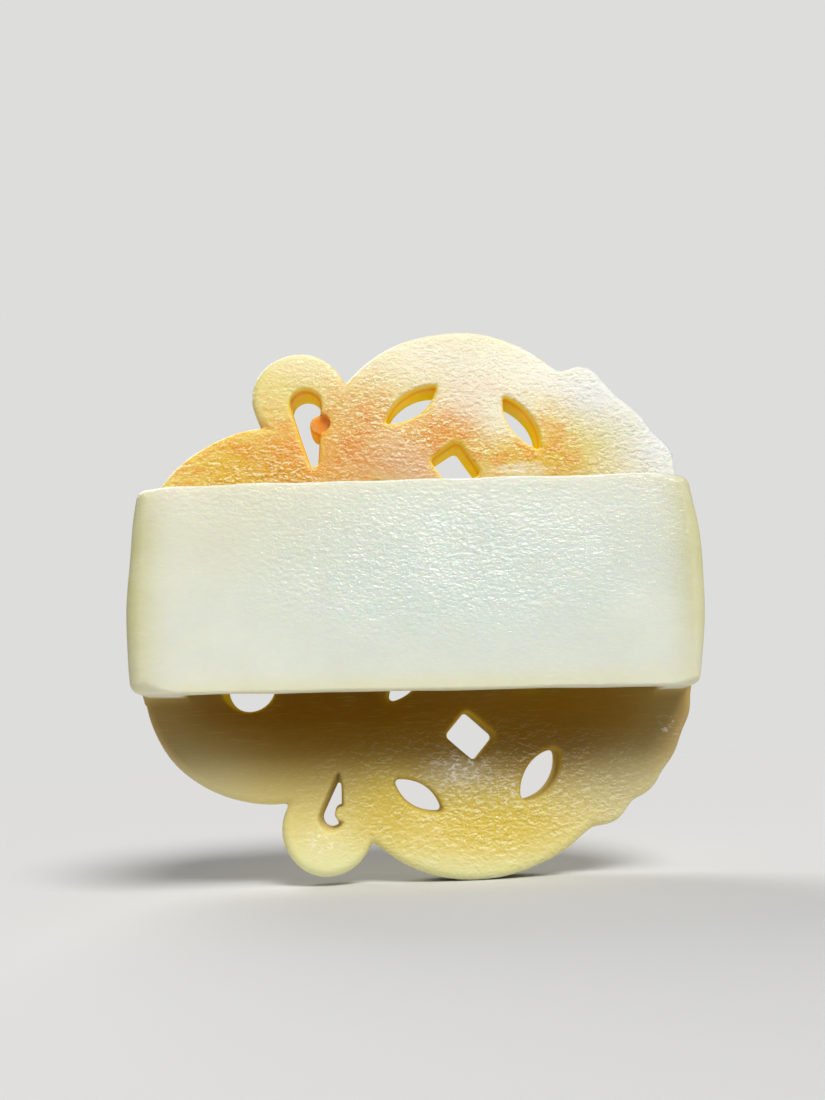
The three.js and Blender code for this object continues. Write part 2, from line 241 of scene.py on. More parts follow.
def srgb(red, green, blue):
    """A screen colour from 0 to 255 as linear light."""
    share = np.array([red, green, blue]) / 255
    return np.where(share <= 0.04045, share / 12.92, ((share + 0.055) / 1.055) ** 2.4)


def place(row, across="x", up="z"):
    """A place in a row of shares, in millimetres."""
    return row[across] * half_width, row["side"] * row[up] * half_width


# Ways to join and shape fields

def smooth_step(low, high, value):
    share = np.clip((value - low) / (high - low), 0, 1)
    return share * share * (3 - 2 * share)


def soft_union(a, b, fillet):
    share = np.clip(0.5 + 0.5 * (b - a) / fillet, 0, 1)
    return b + (a - b) * share - fillet * share * (1 - share)


def round_cut(a, b, radius):
    """What is inside both fields, with the edge between them rounded."""
    corner = np.hypot(np.maximum(a + radius, 0), np.maximum(b + radius, 0))
    return np.minimum(np.maximum(a, b), -radius) + corner


def disc(x, z, centre, radius):
    return np.hypot(x - centre[0], z - centre[1]) - radius


def row_disc(x, z, row):
    """The disc that a row of shares describes."""
    return disc(x, z, place(row), row["radius"] * half_width)


def turned(x, z, centre, angle):
    """Coordinates along and across a direction from a centre."""
    along = (x - centre[0]) * math.cos(angle) + (z - centre[1]) * math.sin(angle)
    across = (z - centre[1]) * math.cos(angle) - (x - centre[0]) * math.sin(angle)
    return along, across


def leaf(x, z, centre, length, width, angle, tip):
    """A pointed leaf whose two tips are rounded."""
    arc = (length**2 + width**2) / (4 * width)
    along, across = turned(x, z, centre, angle)
    offset = arc - width / 2
    one = np.hypot(along, across + offset) - arc
    other = np.hypot(along, across - offset) - arc
    return round_cut(one, other, tip)


def coin_eye(x, z, coin, margin=0):
    """A coin's eye, widened all round by a margin."""
    along, across = turned(x, z, coin["eye"], coin["eye_turn"])
    half_across, half_along = coin["eye_size"][0] / 2 + margin, coin["eye_size"][1] / 2 + margin
    return round_cut(np.abs(along) - half_across, np.abs(across) - half_along, eye_corner)


def taper(x, z, start, start_radius, end, end_radius):
    """A bar with round ends that narrows from one point to another."""
    length = math.hypot(end[0] - start[0], end[1] - start[1])
    along, across = turned(x, z, start, math.atan2(end[1] - start[1], end[0] - start[0]))
    across = np.abs(across)
    lean = (start_radius - end_radius) / length
    upright = math.sqrt(1 - lean**2)
    side = along * upright - across * lean
    body = across * upright + along * lean - start_radius
    near = np.hypot(along, across) - start_radius
    far = np.hypot(along - length, across) - end_radius
    return np.where(side < 0, near, np.where(side > length * upright, far, body))


def volute(x, z, centre, side):
    """Distance to a strip that winds inwards about a centre."""
    radius = np.hypot(x - centre[0], z - centre[1])
    angle = np.arctan2(side * (z - centre[1]), x - centre[0]) - volute_start
    nearest = far_away
    for turn in range(-1, 3):
        share = (angle + turn * 2 * math.pi) / (volute_turns * 2 * math.pi)
        kept = np.clip(share, 0, 1)
        line = volute_outer + (volute_inner - volute_outer) * kept
        width = volute_root_width + (volute_tip_width - volute_root_width) * kept
        past = (share - kept) * volute_turns * 2 * math.pi * radius
        nearest = np.minimum(nearest, np.hypot(radius - line, past) - width / 2)
    return nearest


# The layout in millimetres

def coin_layout(number):
    """A coin's sizes and places, with its leaves."""
    row = coin_shares[number]
    length, width = leaf_sizes[number]
    leaves = []
    for leaf_row in leaf_shares[number]:
        size = (leaf_row["long"] * length, leaf_row["wide"] * width)
        leaves.append((place(leaf_row), *size, math.radians(leaf_row["turn"]), leaf_tips[number]))
    return dict(
        centre=place(row),
        radius=row["radius"] * half_width,
        eye=place(row, "eye_x", "eye_z"),
        eye_size=eye_sizes[number],
        eye_turn=math.radians(eye_turns[number]),
        orbit=row["orbit"] * half_width,
        leaf_width=width,
        leaves=leaves,
    )


coins = [coin_layout(0), coin_layout(1)]
curl_eyes = [place(row) for row in curl_eye_shares]
bat_body = (bat_body_share * half_width, 0)
bat_head = (bat_body[0] - bat_body_length / 2 - bat_head_radius + bat_head_lap, 0)


def bulged_end(across, z, bulge):
    """How far a place is past an end that bulges by so much over the height of the band."""
    radius = (half_band**2 + bulge**2) / (2 * bulge)
    return np.hypot(np.maximum(across - half_width + radius, 0), z) - radius


def plaque_ends(x, z):
    return bulged_end(np.abs(x), z, plaque_end_bulge)


def loop_ends(x, y, z):
    """The loop's two ends, which lean in towards the band."""
    inwards = plaque_back - y
    left = bulged_end(-x, z, left_end_bulge) + left_end_lean * inwards
    right = bulged_end(x, z, right_end_bulge) + right_end_lean * inwards - right_end_tilt * z
    return np.where(x < 0, left, right)


def outline(x, z):
    """The plaque's outline without its openings."""
    body = far_away
    for row in coin_shares + curl_shares + lobe_shares + wing_shares:
        body = soft_union(body, row_disc(x, z, row), notch_fillet)
    for row in scallop_shares[0] + scallop_shares[1]:
        body = soft_union(body, row_disc(x, z, row), scallop_fillet)
    bat_disc_x = bat_disc_share * half_width
    body = soft_union(body, disc(x, z, (bat_disc_x, 0), half_width - bat_disc_x), notch_fillet)
    behind_band = np.maximum(np.abs(z) - half_band + band_long_edge, slot_half_length - np.abs(x))
    body = soft_union(body, np.maximum(behind_band, loop_ends(x, plaque_back, z)), notch_fillet)
    return np.maximum(body, plaque_ends(x, z))


def holes(x, z):
    """All the openings through the plaque."""
    open_to = drops(x, z)
    for coin in coins:
        open_to = np.minimum(open_to, coin_eye(x, z, coin))
        for leaf_row in coin["leaves"]:
            open_to = np.minimum(open_to, leaf(x, z, *leaf_row))
    for centre in curl_eyes:
        open_to = np.minimum(open_to, disc(x, z, centre, curl_eye_radius))
    return open_to


def drops(x, z):
    """The drop-shaped openings in the lobes, each with a knob left standing at its side."""
    open_to = far_away
    for row, radius, tip, knob in zip(drop_shares, drop_radii, drop_tip_radii, knob_radii):
        drop = taper(x, z, place(row), radius, place(row, "tip_x", "tip_z"), tip)
        knob_field = disc(x, z, place(row, "knob_x", "knob_z"), knob)
        open_to = np.minimum(open_to, round_cut(drop, -knob_field, tip / 2))
    return open_to


def lower_mouth(x, y, z):
    """The lower drop's run-in at the back, with the knob left standing."""
    row = drop_shares[1]
    tip_x, tip_z = place(row, "tip_x", "tip_z")
    far_tip = (tip_x, tip_z + drop_mouth_reach)
    mouth = taper(x, z, place(row), drop_radii[1] + drop_mouth, far_tip, drop_tip_radii[1])
    knob = disc(x, z, place(row, "knob_x", "knob_z"), knob_radii[1])
    return round_cut(mouth + drop_mouth_slope * (y - plaque_back), -knob, drop_tip_radii[1] / 2)


def upper_socket(x, y, z):
    """What is cut from the back round the upper knob, to set it deeper."""
    row = drop_shares[0]
    drop = taper(x, z, place(row), drop_radii[0], place(row, "tip_x", "tip_z"), drop_tip_radii[0])
    knob = disc(x, z, place(row, "knob_x", "knob_z"), knob_radii[0])
    return np.maximum(np.minimum(drop, knob), y - plaque_back - knob_recess)


# The carved front

def raised(distance, height):
    """A ridge with round shoulders, from its distance field."""
    return height * smooth_step(relief_shoulder / 2, -relief_shoulder, distance)


def groove(distance, depth=groove_depth, width=groove_width):
    return -depth * np.exp(-((distance / width) ** 2))


def ring(field, inset, width):
    """Distance to a band that lies inside an outline's edge."""
    return np.abs(field + inset + width / 2) - width / 2


def coin_relief(x, z, coin):
    rim = disc(x, z, coin["centre"], coin["radius"])
    frame_field = coin_eye(x, z, coin, fine_border_width)
    ring_radius = coin["orbit"] + (coin["leaf_width"] + fine_border_width) / 2 + border_inset
    ring_field = np.abs(disc(x, z, coin["eye"], ring_radius)) - fine_border_width / 2
    dish_edge = -border_inset - rim_width
    height = -coin_dish * smooth_step(dish_edge, dish_edge - dish_slope, rim)
    height = np.maximum(height, height + raised(ring_field, low_relief + coin_dish / 2))
    height = np.maximum(height, raised(frame_field, low_relief + coin_dish / 2) - coin_dish / 2)
    for leaf_row in coin["leaves"]:
        edge = leaf(x, z, *leaf_row)
        height = height + groove(edge - 2 * groove_width, groove_depth / 2, groove_width / 2)
    return np.maximum(height, raised(ring(rim, border_inset, rim_width), high_relief))


def ruyi_relief(x, z):
    height = 0
    for row, eye in zip(curl_shares, curl_eyes):
        side = row["side"]
        border = ring(row_disc(x, z, row), border_inset, border_width)
        border_end = border_gap / 2 + border_gap_slope * np.maximum(x - place(row)[0], 0) - side * z
        border = round_cut(border, border_end, border_end_share * border_width)
        height = np.maximum(height, raised(border, high_relief))
        spiral = volute(x, z, eye, side)
        height = np.maximum(height, raised(spiral, middle_relief))
        height = height + groove(spiral - 2 * groove_width, groove_depth / 2, groove_width / 2)
    for row in lobe_shares:
        lobe = ring(row_disc(x, z, row), border_inset, fine_border_width)
        height = np.maximum(height, raised(lobe, low_relief))
    return height


def bat_relief(x, z):
    body = np.hypot((x - bat_body[0]) / (bat_body_length / 2), (z - bat_body[1]) / (bat_body_width / 2))
    dome = high_relief * np.sqrt(np.clip(1 - body**2, 0, 1))
    head = np.hypot(x - bat_head[0], z - bat_head[1]) / bat_head_radius
    dome = np.maximum(dome, high_relief * np.sqrt(np.clip(1 - head**2, 0, 1)))
    height = 0
    for row in scallop_shares[0] + scallop_shares[1]:
        root = (bat_body[0], row["side"] * (bat_body_width + rib_root_width) / 2)
        rib = taper(x, z, root, rib_root_width / 2, place(row), rib_tip_width / 2)
        height = np.maximum(height, raised(rib, low_relief))
        for edge in (rib - groove_width, row_disc(x, z, row) + wing_groove_step / 2):
            height = height + groove(edge, groove_depth / 2, groove_width / 2)
    return np.maximum(height, dome)


def front_height(x, z):
    """How far the carved front stands out of its ground."""
    upper = disc(x, z, coins[0]["centre"], coins[0]["radius"])
    lower = disc(x, z, coins[1]["centre"], coins[1]["radius"])
    middle_x = coins[0]["centre"][0]
    beside = np.where(x < middle_x, ruyi_relief(x, z), bat_relief(x, z))
    height = np.where(lower < 0, coin_relief(x, z, coins[1]), beside)
    height = np.where(upper < 0, coin_relief(x, z, coins[0]), height)
    lower_edge = np.where(upper < 0, far_away, lower)
    return height + groove(upper) + groove(lower_edge)


# The whole stone

def plaque(x, y, z, body, opening, front):
    back = plaque_back - y
    face = y - plaque_front - front
    slab = round_cut(body, np.maximum(back, face), plaque_edge)
    depth = (2 * y - plaque_back - plaque_front) / (plaque_front - plaque_back)
    waist = hole_waist * np.clip(1 - depth**2, 0, 1)
    pierced = round_cut(slab, -(opening + waist), hole_edge)
    dips = np.minimum(lower_mouth(x, y, z), upper_socket(x, y, z))
    return round_cut(pierced, -dips, hole_edge / 2)


def belt_loop(x, y, z):
    lower_edge = half_band + band_lower_slope * x
    sides = np.maximum(z - half_band, -z - lower_edge)
    foot = round_cut(loop_ends(x, y, z), sides, band_corner)
    ends = smooth_step(half_width - end_edge_start, half_width - end_edge_full, np.abs(x))
    edge = band_long_edge + (band_end_edge - band_long_edge) * ends
    outer = round_cut(foot, band_outer - y, edge)
    outer = np.maximum(outer, y - plaque_back - root_fillet)
    slot = round_cut(np.abs(x) - slot_half_length, -y - plaque_back, slot_fillet)
    return round_cut(outer, -slot, slot_edge)


wave_random = np.random.default_rng(wave_seed)
wave_lengths = wave_random.uniform(shortest_wave, longest_wave, wave_count)
wave_axes = wave_random.normal(size=(wave_count, 3))
wave_axes /= np.linalg.norm(wave_axes, axis=1)[:, None]
wave_phases = wave_random.uniform(0, 2 * math.pi, wave_count)


def hand_waves(x, y, z):
    """The low waves that hand grinding leaves on the faces."""
    total = 0
    for length, axis, phase in zip(wave_lengths, wave_axes, wave_phases):
        turn = 2 * math.pi / length
        total = total + np.sin(turn * (x * axis[0] + y * axis[1] + z * axis[2]) + phase)
    return hand_wave * total / math.sqrt(wave_count)


def stone(x, y, z):
    """The field of the whole stone."""
    body = outline(x, z)
    opening = holes(x, z)
    front = front_height(x, z)
    carved = plaque(x, y, z, body, opening, front)
    whole = soft_union(carved, belt_loop(x, y, z), root_fillet)
    ends = np.where(y < plaque_back, loop_ends(x, np.minimum(y, plaque_back), z), plaque_ends(x, z))
    return np.maximum(whole, ends) + hand_waves(x, y, z)


def slopes(points):
    """The field's direction of steepest rise and its steepness at each point."""
    columns = points.T
    rise = np.empty_like(points)
    for axis in range(3):
        ahead = [c + slope_step * (axis == i) for i, c in enumerate(columns)]
        behind = [c - slope_step * (axis == i) for i, c in enumerate(columns)]
        rise[:, axis] = (stone(*ahead) - stone(*behind)) / (2 * slope_step)
    steepness = np.linalg.norm(rise, axis=1)
    return rise / np.maximum(steepness, 1e-6)[:, None], steepness


def onto_surface(points):
    """Moves points along the field's slope until they lie on the stone's surface."""
    for _ in range(projection_rounds):
        direction, steepness = slopes(points)
        step = stone(*points.T) / np.maximum(steepness, least_steepness)
        step = np.clip(step, -grid_step / 2, grid_step / 2)
        points = points - direction * step[:, None]
    return points


def crossings(field, cells):
    """Where the surface passes each cell: the mean of the places where it crosses the cell's edges."""
    total = np.zeros((len(cells), 3))
    count = np.zeros(len(cells))
    for axis in range(3):
        others = [a for a in range(3) if a != axis]
        for corner in np.ndindex(2, 2):
            start = np.zeros(3, dtype=int)
            start[others] = corner
            end = start.copy()
            end[axis] = 1
            from_field = field[tuple((cells + start).T)]
            to_field = field[tuple((cells + end).T)]
            crossed = (from_field < 0) != (to_field < 0)
            gap = np.where(crossed, from_field - to_field, 1)
            share = np.where(crossed, from_field / gap, 0)
            total += (start + (end - start) * share[:, None]) * crossed[:, None]
            count += crossed
    return total / count[:, None]


def net_quads(inside, number):
    """A quad across each grid edge that leaves or enters the stone, between the four cells round it."""
    quads = []
    for axis in range(3):
        others = [a for a in range(3) if a != axis]
        first = [slice(1, -1)] * 3
        second = [slice(1, -1)] * 3
        first[axis] = slice(0, -1)
        second[axis] = slice(1, None)
        begins = inside[tuple(first)]
        ends = inside[tuple(second)]
        for leaves_stone in (True, False):
            edges = np.argwhere((begins == leaves_stone) & (ends != leaves_stone))
            edges[:, others] += 1
            cells_round = []
            for corner in ((1, 1), (0, 1), (0, 0), (1, 0)):
                step = np.zeros(3, dtype=int)
                step[others] = corner
                cells_round.append(number[tuple((edges - step).T)])
            quad = np.stack(cells_round, axis=1)
            outward = leaves_stone == (axis != 1)
            quads.append(quad if outward else quad[:, ::-1])
    return np.concatenate(quads)


def surface_net():
    """A mesh of the surface: a vertex in each cell that it passes, and a quad across each edge."""
    margin = margin_steps * grid_step
    low = np.array(cad_box[0]) / MM - margin
    high = np.array(cad_box[1]) / MM + margin
    axes = [np.arange(a, b, grid_step) for a, b in zip(low, high)]
    field = stone(axes[0][:, None, None], axes[1][None, :, None], axes[2][None, None, :])
    inside = field < 0
    shape = [n - 1 for n in field.shape]
    corners = np.zeros(shape, dtype=np.int8)
    for i, j, k in np.ndindex(2, 2, 2):
        corners += inside[i:i + shape[0], j:j + shape[1], k:k + shape[2]]
    cells = np.argwhere((corners > 0) & (corners < 8))
    number = np.full(shape, -1)
    number[tuple(cells.T)] = np.arange(len(cells))
    points = low + grid_step * (cells + crossings(field, cells))
    return points, net_quads(inside, number)


# Colours of the stone, as they look in plain light

pale = srgb(226, 229, 216)
cool = srgb(217, 230, 225)
yellowish = srgb(228, 224, 180)
end_yellow = srgb(200, 197, 138)
honey = srgb(236, 222, 144)
cream = srgb(250, 244, 222)
bright = srgb(255, 252, 234)
blush = srgb(252, 232, 214)
lemon = srgb(236, 235, 184)
green_yellow = srgb(226, 212, 104)
amber = srgb(236, 194, 44)
deep_amber = srgb(232, 188, 24)
groove_brown = srgb(186, 138, 52)
orange = srgb(232, 162, 34)
pinkish = srgb(234, 180, 98)
rose = srgb(230, 182, 142)
white = srgb(234, 240, 243)
# Olive, deep olive and tan: partly an olive stain and partly painted shade, the band's shadow on the
# plaque's back
olive = srgb(152, 110, 10)
deep_olive = srgb(132, 88, 0)
tan = srgb(166, 146, 100)
gold = srgb(226, 200, 66)
grey_honey = srgb(208, 204, 176)
wall_amber = srgb(255, 224, 20)
wall_streak = srgb(226, 122, 8)
# Partly painted shade on the lower openings' walls
wall_olive = srgb(176, 138, 52)
knob_orange = srgb(252, 160, 34)

# Patches of colour: place and reach as shares of half the width, strength, colour
# Along the top of the upper coin the cream and bright patches, and the blush one below them, are partly pale
# stone and partly painted highlight where the rims face the light
upper_patches = [
    ((0.22, 0.95), (0.5, 0.17), 0.9, cream),
    ((0.5, 0.84), (0.24, 0.14), 0.9, bright),
    ((-0.45, 0.93), (0.16, 0.07), 0.3, cream),
    ((-0.66, 0.48), (0.26, 0.2), 0.95, amber),
    ((-0.36, 0.54), (0.24, 0.14), 0.9, orange),
    ((-0.2, 0.62), (0.2, 0.2), 0.8, pinkish),
    ((0.02, 0.5), (0.22, 0.12), 0.85, rose),
    ((0.15, 0.63), (0.14, 0.1), 0.9, orange),
    ((0.24, 0.76), (0.16, 0.1), 0.7, blush),
    ((0.36, 0.67), (0.11, 0.09), 0.8, cream),
    ((0.54, 0.62), (0.14, 0.13), 0.65, amber),
    ((0.48, 0.5), (0.28, 0.08), 1.0, deep_amber),
    ((0.7, 0.58), (0.13, 0.13), 0.85, green_yellow),
    ((1.0, 0.58), (0.26, 0.34), 1.0, white),
    ((0.74, 0.78), (0.2, 0.14), 0.9, white),
    ((0.4, 0.465), (0.1, 0.022), 0.85, cream),
]
# Painted shade: the band's shadow on the plaque's back, partly a real olive stain
shade_patches = [
    ((-0.2, -0.46), (0.95, 0.22), 0.97, olive),
    ((0.52, -0.43), (0.6, 0.22), 0.97, olive),
    ((-0.4, -0.37), (0.7, 0.13), 0.95, deep_olive),
    ((0.42, -0.52), (0.26, 0.14), 0.4, deep_olive),
    ((-1.0, -0.56), (0.2, 0.22), 0.8, tan),
    ((0.98, -0.52), (0.18, 0.2), 0.8, tan),
]
lower_patches = [
    ((-0.8, -0.7), (0.24, 0.16), 0.5, grey_honey),
    ((0.78, -0.76), (0.3, 0.17), 0.5, grey_honey),
    ((0.15, -0.98), (0.5, 0.12), 0.8, lemon),
    # Partly lemon stone and partly painted highlight on the lower lobe's bottom edge
    ((-0.37, -0.96), (0.2, 0.14), 0.95, lemon),
    ((0.22, -0.8), (0.26, 0.12), 0.85, gold),
    ((-0.14, -0.74), (0.12, 0.12), 0.7, gold),
    ((0.12, -0.63), (0.1, 0.05), 0.3, cream),
]
band_patches = [
    ((-0.5, 0.2), (0.5, 0.2), 0.35, yellowish),
    ((0.16, 0.02), (0.74, 0.34), 0.85, cool),
    ((-1.0, 0.0), (0.11, 0.9), 0.95, end_yellow),
    ((1.0, 0.0), (0.13, 0.9), 0.95, end_yellow),
    ((-0.2, -0.36), (1.2, 0.05), 0.6, yellowish),
]
wall_patches = [
    # Partly painted shade: the lower openings' walls in olive, as the back below the band
    ((0.0, -0.62), (1.1, 0.4), 0.9, wall_olive),
    ((-0.345, 0.67), (0.07, 0.07), 0.95, knob_orange),
]

# Where the hand polish catches the light, shown as painted glints, more gloss and ripples, where the gloss
# is dull,
# and where pale chips show: place, reach, strength
glint_patches = [
    ((0.08, 0.1), (0.66, 0.26), 1.0),
    ((0.25, 0.75), (0.75, 0.36), 1.0),
    ((0.86, 0.52), (0.26, 0.24), 1.0),
    ((-0.6, 0.42), (0.4, 0.22), 0.9),
    ((0.22, -0.76), (0.6, 0.22), 0.6),
]
dull_patches = [
    ((-0.1, -0.42), (1.0, 0.15), 0.8),
]
chip_patches = [
    ((0.12, -0.62), (0.1, 0.06), 0.9),
    ((0.26, -0.69), (0.1, 0.05), 0.6),
    ((-0.36, -0.84), (0.06, 0.04), 0.8),
    ((0.86, -0.5), (0.04, 0.03), 0.6),
]
patch_falloff = 1.3

# How far off the plaque's back, towards the band, its colour starts and is whole, and between which depths
# in the plaque the look of the back, with its painted shade and glints, fades
plaque_look_start = 4.5
plaque_look_full = 0.5
back_skin_start = 0.5
back_skin_end = 3.0

# The heights between which the stone goes from its lower look to its upper one
lower_look_top = -6
upper_look_start = 2

# Carved grooves darken: how far round a place its surroundings lie, the depths between which the darkening
# grows, how far below the front's ground it starts and is whole, and its strength
groove_reach = 0.8
groove_shallow = 0.03
groove_full = 0.3
groove_tint_start = 1.8
groove_tint_full = 0.8
groove_strength = 0.6

# The openings' walls: how far their colour reaches beyond them, how far it reaches round the knob as a share
# of half the width, above which height it is whole, and where a streak lies in it
hole_tint_reach = 0.45
knob_tint_share = 0.055
wall_tint_height = -8
streak_depth = 1.1
streak_half_width = 0.45
streak_strength = 0.6

# The stain shows where the colour is warm, and less on the front. The least red keeps black from dividing
# by nothing.
least_red = 0.01
stain_start = 0.5
stain_full = 0.9
front_stain = 0.4

# Gloss on the front and where nothing catches the light, and how much the ripples, with their painted
# glints and shade, show on the band
front_gloss = 0.55
plain_gloss = 0.2
band_glints = 0.3


def patch_share(x, z, centre, reach):
    """How much of a soft patch covers each place."""
    across = (x / half_width - centre[0]) / reach[0]
    up = (z / half_width - centre[1]) / reach[1]
    return np.exp(-((across**2 + up**2) ** patch_falloff))


def patched(x, z, base, patches):
    """Layers soft patches of colour over a base colour or over each point's own."""
    colour = np.broadcast_to(base, (len(x), 3)).copy()
    for centre, reach, strength, tint in patches:
        share = strength * patch_share(x, z, centre, reach)
        colour += (tint - colour) * share[:, None]
    return colour


def covered(x, z, patches):
    """The strongest of several soft patches at each place."""
    shares = [strength * patch_share(x, z, centre, reach) for centre, reach, strength in patches]
    return np.max(shares, axis=0)


def groove_share(x, z):
    """How far the carved front lies below its surroundings, from 0 to 1."""
    around = 0
    for step_x, step_z in ((1, 0), (-1, 0), (0, 1), (0, -1)):
        around = around + front_height(x + step_x * groove_reach, z + step_z * groove_reach) / 4
    return smooth_step(groove_shallow, groove_full, around - front_height(x, z))


def plaque_colour(x, y, z, behind):
    """The plaque's colour, with painted shade from the band, partly a real olive stain, only near its back,
    and darker grooves on its front.
    """
    colour = patched(x, z, honey, upper_patches)
    # Painted shade below the band, partly an olive stain, on the back only
    shaded = patched(x, z, colour, shade_patches)
    colour += (shaded - colour) * behind[:, None]
    colour = patched(x, z, colour, lower_patches)
    sunk = groove_strength * groove_share(x, z)
    sunk *= smooth_step(plaque_front - groove_tint_start, plaque_front - groove_tint_full, y)
    colour += (groove_brown - colour) * sunk[:, None]
    return colour


def wall_colour(x, y, z, upper):
    """The colour of the openings' walls, with partly painted shade on the lower ones and a streak in those
    above the band.
    """
    colour = patched(x, z, wall_amber, wall_patches)
    streak = streak_strength * np.exp(-(((y - plaque_back - streak_depth) / streak_half_width) ** 2)) * upper
    colour += (wall_streak - colour) * streak[:, None]
    return colour


def wall_share(x, y, z):
    """How far each place belongs to an opening's wall or to the upper knob."""
    near_hole = np.exp(-np.maximum(holes(x, z), 0) / hole_tint_reach)
    knob = drop_shares[0]
    on_knob = patch_share(x, z, (knob["knob_x"], knob["knob_z"]), (knob_tint_share, knob_tint_share))
    between_faces = smooth_step(plaque_back - hole_edge / 10, plaque_back + hole_edge / 2, y)
    return np.maximum(near_hole, on_knob) * between_faces


def colours(points):
    """The stone's colour, painted shade and highlight included, and its gloss at each vertex, and its marks
    and glints: stain, glints where painted glints, gloss and ripples show, chips and scratches.
    """
    x, y, z = points.T
    on_plaque = smooth_step(plaque_back - plaque_look_start, plaque_back - plaque_look_full, y)
    behind = 1 - smooth_step(plaque_back + back_skin_start, plaque_back + back_skin_end, y)
    upper = smooth_step(lower_look_top, upper_look_start, z)
    on_wall = wall_share(x, y, z) * on_plaque
    off_wall = 1 - on_wall

    colour = patched(x, z, pale, band_patches)
    colour += (plaque_colour(x, y, z, behind) - colour) * on_plaque[:, None]
    tinted = on_wall * smooth_step(wall_tint_height - half_width, wall_tint_height, z)
    colour += (wall_colour(x, y, z, upper) - colour) * tinted[:, None]

    warmth = np.clip((colour[:, 0] - colour[:, 2]) / np.maximum(colour[:, 0], least_red), 0, 1)
    stain = smooth_step(stain_start, stain_full, warmth) * on_plaque * upper * off_wall
    stain *= front_stain + (1 - front_stain) * behind
    glints = covered(x, z, glint_patches) * off_wall * behind
    chips = covered(x, z, chip_patches) * on_plaque * behind
    scratches = on_plaque * (1 - upper) * behind

    gloss = (plain_gloss + (1 - plain_gloss) * glints) * off_wall
    gloss *= 1 - covered(x, z, dull_patches) * on_plaque
    gloss += (front_gloss - gloss) * (1 - behind) * off_wall
    glints *= band_glints + (1 - band_glints) * on_plaque
    return np.column_stack([colour, gloss]), np.column_stack([stain, glints, chips, scratches])


def thin_out(piece, share):
    """Keeps a share of the triangles in a piece's mesh."""
    thick = piece.data
    name = thick.name
    thin = piece.modifiers.new("thin", "DECIMATE")
    thin.ratio = share
    evaluated = piece.evaluated_get(bpy.context.evaluated_depsgraph_get())
    thinned = bpy.data.meshes.new_from_object(evaluated)
    piece.modifiers.clear()
    piece.data = thinned
    bpy.data.meshes.remove(thick)
    thinned.name = name


def carve():
    """The whole stone as one mesh."""
    points, quads = surface_net()
    mesh = bpy.data.meshes.new("jade_carving")
    mesh.from_pydata((points * MM).tolist(), [], quads.tolist())
    piece = bpy.data.objects.new("jade_carving", mesh)
    bpy.context.scene.collection.objects.link(piece)
    triangles = 2 * len(quads)
    if triangles > triangle_goal:
        thin_out(piece, triangle_goal / triangles)
    mesh = piece.data
    flat = np.empty(3 * len(mesh.vertices))
    mesh.vertices.foreach_get("co", flat)
    points = onto_surface(flat.reshape(-1, 3) / MM)
    mesh.vertices.foreach_set("co", (points * MM).ravel())
    mesh.shade_smooth()
    normals, _ = slopes(points)
    mesh.normals_split_custom_set_from_vertices(normals.tolist())
    for name, values in zip(("jade_colour", "jade_marks_and_glints"), colours(points)):
        attribute = mesh.color_attributes.new(name, "FLOAT_COLOR", "POINT")
        attribute.data.foreach_set("color", values.ravel())
    mesh.update()
    return piece


# Material

cloud_white = srgb(250, 252, 240)
felt_white = srgb(252, 252, 244)
rust = srgb(232, 140, 16)
speck_gold = srgb(255, 236, 150)
# Painted shade on the ripples' downward slopes and painted glints on their upward ones
painted_shade_grey = srgb(214, 206, 186)
painted_glint_cream = srgb(252, 244, 198)
scratch_gold = srgb(222, 206, 120)
chip_white = srgb(255, 255, 252)

# Patterns: cells per millimetre along each axis, turn in degrees, and the noise's own settings
clouds = dict(per_mm=(0.16, 0.16, 0.22), turn=(0, 0, 0), detail=5, roughness=0.6, distortion=0.4)
felt = dict(per_mm=(0.9, 0.9, 2.2), turn=(0, 8, 0), detail=6, roughness=0.7, distortion=0.6)
blots = dict(per_mm=(0.45, 0.45, 0.6), turn=(0, -20, 0), detail=6, roughness=0.6, distortion=0.8)
specks = dict(per_mm=(1.7, 1.7, 2.6), turn=(0, 12, 0))
wide_ripples = dict(per_mm=(0.95, 0.95, 1.8), turn=(0, 10, 0), detail=2, roughness=0.55, distortion=0.6)
fine_ripples = dict(per_mm=(1.5, 1.5, 2.6), turn=(0, -12, 0), detail=2, roughness=0.55, distortion=0.6)
drifts = dict(per_mm=(0.3, 0.3, 0.45), turn=(0, 0, 0), detail=3, roughness=0.6, distortion=0.5)
scratch_lines = dict(per_mm=(0.3, 0.3, 4.2), turn=(0, 3, 0), detail=3, roughness=0.6, distortion=0.3)
flakes = dict(per_mm=(1.3, 1.3, 2.4), turn=(0, 20, 0), detail=2, roughness=0.5, distortion=0.6)

# How patterns show: from nothing at the first value to a strength at the second
clouds_show = (0.3, 0.7, 0.14)
felt_shows = (0.5, 0.72, 0.12)
blots_show = (0.46, 0.62, 0.5)
specks_show = (0.36, 0.1, 0.5)
lines_show = (0.56, 0.7, 0.12)
flakes_show = (0.54, 0.62, 0.85)

# How much of the clouds and the felt stays in stained and in scratched stone
least_plain = 0.03

# Ripples: the part of a cell over which their slope is taken, the slopes between which painted glints show
# where they face up and painted shade where they face down, how strongly the painted shade shows, and the
# noise range and strengths with which the ripples come and go in drifts
ripple_step = (0, 0, 0.35)
painted_glint_slopes = (0.09, 0.13)
painted_shade_slopes = (-0.06, -0.16)
painted_shade_strength = 0.5
drift_range = (0.36, 0.56, 0.4, 1.0)

# How high the ripples stand, in millimetres, under the gloss and in the stone, and their least share
bump_heights = {"Coat Normal": 0.4, "Normal": 0.06}
least_bump = 0.2

jade_surface = {
    "Roughness": 0.4,
    "Specular IOR Level": 0.0,
    "Subsurface Weight": 0.6,
    "Subsurface Radius": (1.0, 0.7, 0.3),
    "Subsurface Scale": 3.0 * MM,
    "Coat Roughness": 0.12,
    "Coat IOR": 1.6,
}


